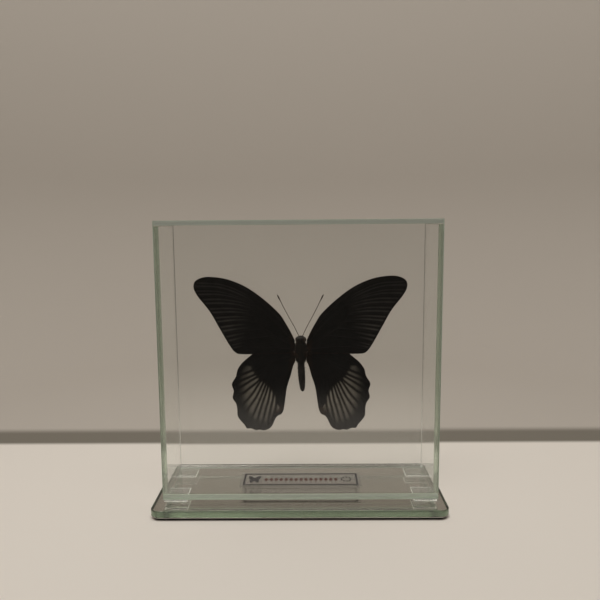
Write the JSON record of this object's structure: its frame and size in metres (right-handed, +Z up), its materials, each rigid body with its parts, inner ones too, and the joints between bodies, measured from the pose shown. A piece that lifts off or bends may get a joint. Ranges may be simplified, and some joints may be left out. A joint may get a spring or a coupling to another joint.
{
  "type": "framed butterfly specimen",
  "caption": "Dried butterfly with spread wings, upright in a clear glass box that stands on a mirror base.",
  "frame": {"origin": "middle of the base's underside, on the surface that the object stands on", "axes": "+Z up, -Y to the front where the upper side of the wings shows, +X to the right"},
  "size_m": [0.16, 0.0656, 0.1583],
  "materials": {
    "pane_glass": "clear float glass, polished, green at the edges",
    "base_glass": "thick float glass with ground and polished green edges",
    "mirror_silver": "silvering behind glass",
    "base_backing": "matt black sheet under the mirror",
    "clear_pad": "clear soft pad",
    "label_film": "thin clear printed film",
    "label_print": "printed border and ornament",
    "forewing": "matt black scales with paler stripes between the veins",
    "hindwing": "black scales with grey-white streaks between the veins",
    "insect_body": "dark brown-black, hairy",
    "antenna": "dark brown, fine",
    "clear_peg": "clear acrylic"
  },
  "bodies": {
    "root": {"base_backing": "base_backing", "base_glass": "base_glass", "pad_front_left": "clear_pad", "pad_front_right": "clear_pad", "pad_rear_left": "clear_pad", "pad_rear_right": "clear_pad", "front_pane": "pane_glass", "rear_pane": "pane_glass", "left_pane": "pane_glass", "right_pane": "pane_glass", "top_pane": "pane_glass", "bottom_pane": "pane_glass", "label": "label_film", "body": "insect_body", "forewing_left": "forewing", "forewing_right": "forewing", "hindwing_left": "hindwing", "hindwing_right": "hindwing", "antenna_left": "antenna", "antenna_right": "antenna", "support_peg": "clear_peg"}
  },
  "joints": []
}
